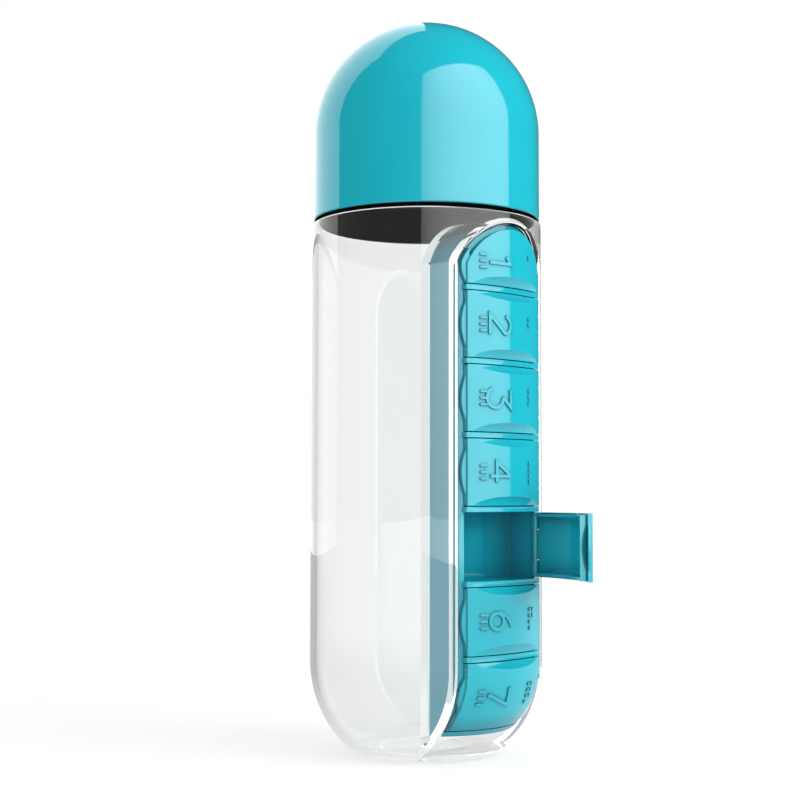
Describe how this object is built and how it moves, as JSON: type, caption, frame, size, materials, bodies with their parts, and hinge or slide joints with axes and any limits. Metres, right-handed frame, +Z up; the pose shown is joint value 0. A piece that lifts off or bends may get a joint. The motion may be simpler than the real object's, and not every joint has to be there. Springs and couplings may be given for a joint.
{
  "type": "weekly pill organizer bottle",
  "caption": "Capsule-shaped clear water bottle with a domed screw cap and a snap-in strip of lidded pill boxes down one side.",
  "frame": {"origin": "on the bottle's axis in the plane it stands on", "axes": "+Z up along the bottle's axis to the cap; the pill strip faces -Y; its lids hinge on the +X side"},
  "size_m": [0.075, 0.1021, 0.2377],
  "materials": {
    "clear_plastic": "clear, polished",
    "teal_gloss": "gloss",
    "black_plastic": "satin",
    "silicone": "matt silicone",
    "pin_steel": "drawn wire"
  },
  "bodies": {
    "bottle": {"bottle_body": "clear_plastic", "neck_collar": "black_plastic"},
    "cap_seal": {"cap_gasket": "silicone"},
    "cap": {"dome_cap": "teal_gloss", "cap_liner": "black_plastic"},
    "pill_box": {"pill_tray": "teal_gloss", "hinge_pin_1": "pin_steel", "hinge_pin_2": "pin_steel", "hinge_pin_3": "pin_steel", "hinge_pin_4": "pin_steel", "hinge_pin_5": "pin_steel", "hinge_pin_6": "pin_steel", "hinge_pin_7": "pin_steel"},
    "lid_1": {"lid_1": "teal_gloss"},
    "lid_2": {"lid_2": "teal_gloss"},
    "lid_3": {"lid_3": "teal_gloss"},
    "lid_4": {"lid_4": "teal_gloss"},
    "lid_5": {"lid_5": "teal_gloss"},
    "lid_6": {"lid_6": "teal_gloss"},
    "lid_7": {"lid_7": "teal_gloss"}
  },
  "joints": [
    {"name": "cap_lift", "type": "slide", "parent": "bottle", "child": "cap_seal", "axis": [0, 0, 1], "range_m": [0, 0.0127]},
    {"name": "cap_turn", "type": "hinge", "parent": "cap_seal", "child": "cap", "pos_m": [0, 0, 0.1723], "axis": [0, 0, 1], "range_deg": [0, 1080]},
    {"name": "pill_box_slide", "type": "slide", "parent": "bottle", "child": "pill_box", "axis": [0, -1, 0], "range_m": [0, 0.03]},
    {"name": "lid_1_hinge", "type": "hinge", "parent": "pill_box", "child": "lid_1", "pos_m": [0.0169, -0.03207, 0.1507], "axis": [0, 0, 1], "range_deg": [0, 110]},
    {"name": "lid_2_hinge", "type": "hinge", "parent": "pill_box", "child": "lid_2", "pos_m": [0.0169, -0.03207, 0.13585], "axis": [0, 0, 1], "range_deg": [0, 110]},
    {"name": "lid_3_hinge", "type": "hinge", "parent": "pill_box", "child": "lid_3", "pos_m": [0.0169, -0.03207, 0.11315], "axis": [0, 0, 1], "range_deg": [0, 110]},
    {"name": "lid_4_hinge", "type": "hinge", "parent": "pill_box", "child": "lid_4", "pos_m": [0.0169, -0.03207, 0.09045], "axis": [0, 0, 1], "range_deg": [0, 110]},
    {"name": "lid_5_hinge", "type": "hinge", "parent": "pill_box", "child": "lid_5", "pos_m": [0.0169, -0.03207, 0.06775], "axis": [0, 0, 1], "range_deg": [-67.5, 42.5]},
    {"name": "lid_6_hinge", "type": "hinge", "parent": "pill_box", "child": "lid_6", "pos_m": [0.0169, -0.03207, 0.04505], "axis": [0, 0, 1], "range_deg": [0, 110]},
    {"name": "lid_7_hinge", "type": "hinge", "parent": "pill_box", "child": "lid_7", "pos_m": [0.0169, -0.03207, 0.028], "axis": [0, 0, 1], "range_deg": [0, 110]}
  ],
  "couplings": [
    {"joint": "cap_lift", "follows": "cap_turn", "m_per_rad": 0.00066845}
  ]
}
